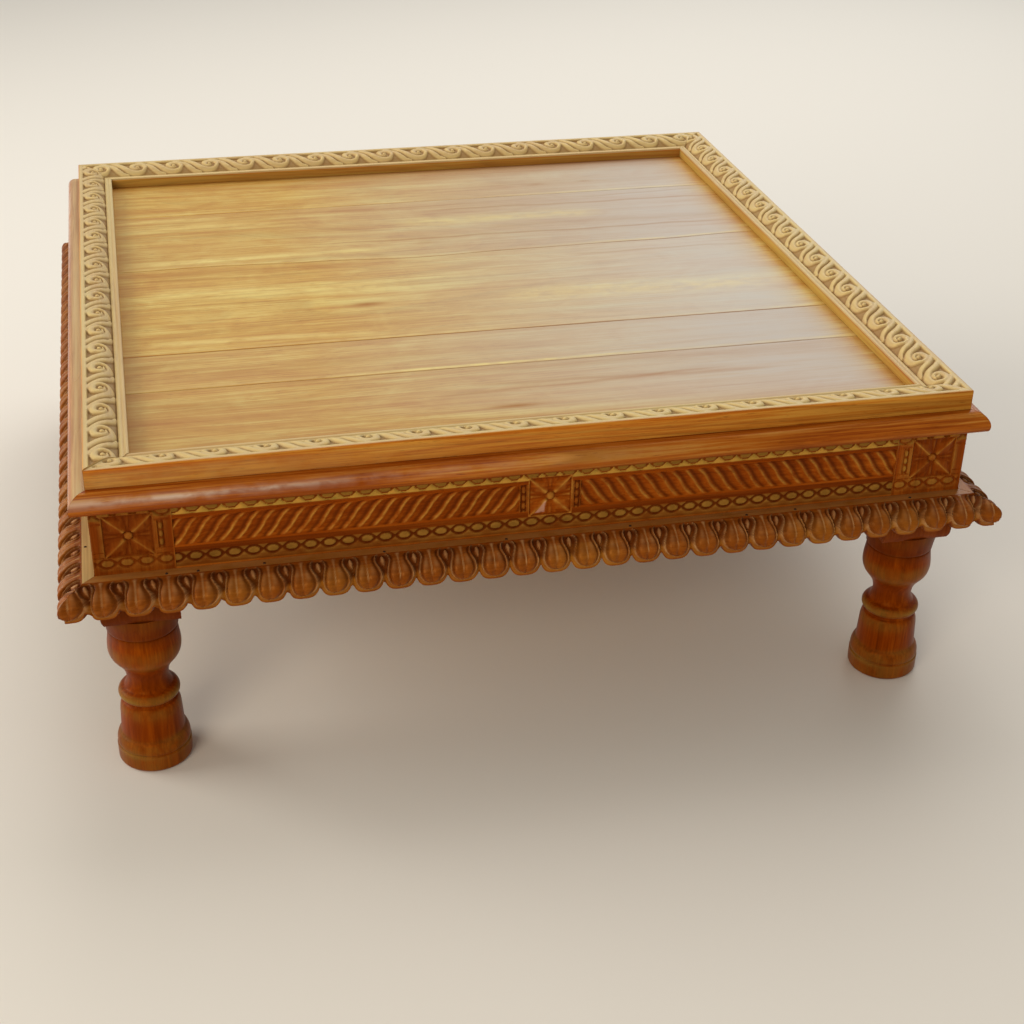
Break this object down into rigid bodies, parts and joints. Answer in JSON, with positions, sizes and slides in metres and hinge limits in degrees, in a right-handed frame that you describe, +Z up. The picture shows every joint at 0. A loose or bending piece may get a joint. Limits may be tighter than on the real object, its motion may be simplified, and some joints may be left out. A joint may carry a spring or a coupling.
{
  "type": "low table",
  "caption": "Square low carved wooden table (bajot): sunk plank top in a carved rim, rounded cornice, reeded frieze, lotus petal skirt and turned legs.",
  "frame": {"origin": "on the floor, under the middle of the table", "axes": "+Z up, front towards -Y, the top planks run along X"},
  "size_m": [0.972, 0.972, 0.362],
  "materials": {
    "top_wood": "clear varnish over honey-brown planks, glossy",
    "rim_wood": "carved, golden, worn varnish",
    "cornice_wood": "reddish varnish, glossy nose",
    "frieze_wood": "carved, red-brown stain, golden ridges",
    "skirt_wood": "carved, red-brown stain, worn tips",
    "leg_wood": "turned, brown varnish",
    "inner_wood": "bare wood, unvarnished"
  },
  "bodies": {
    "root": {"top_plank_1": "top_wood", "top_plank_2": "top_wood", "top_plank_3": "top_wood", "top_plank_4": "top_wood", "top_plank_5": "top_wood", "rim_front": "rim_wood", "cornice_front": "cornice_wood", "frieze_front": "frieze_wood", "skirt_front": "skirt_wood", "rim_right": "rim_wood", "cornice_right": "cornice_wood", "frieze_right": "frieze_wood", "skirt_right": "skirt_wood", "rim_back": "rim_wood", "cornice_back": "cornice_wood", "frieze_back": "frieze_wood", "skirt_back": "skirt_wood", "rim_left": "rim_wood", "cornice_left": "cornice_wood", "frieze_left": "frieze_wood", "skirt_left": "skirt_wood", "leg_front_left": "leg_wood", "peg_front_left_1": "inner_wood", "peg_front_left_2": "inner_wood", "leg_front_right": "leg_wood", "peg_front_right_1": "inner_wood", "peg_front_right_2": "inner_wood", "leg_back_right": "leg_wood", "peg_back_right_1": "inner_wood", "peg_back_right_2": "inner_wood", "leg_back_left": "leg_wood", "peg_back_left_1": "inner_wood", "peg_back_left_2": "inner_wood", "batten_left": "inner_wood", "batten_right": "inner_wood"}
  },
  "joints": []
}
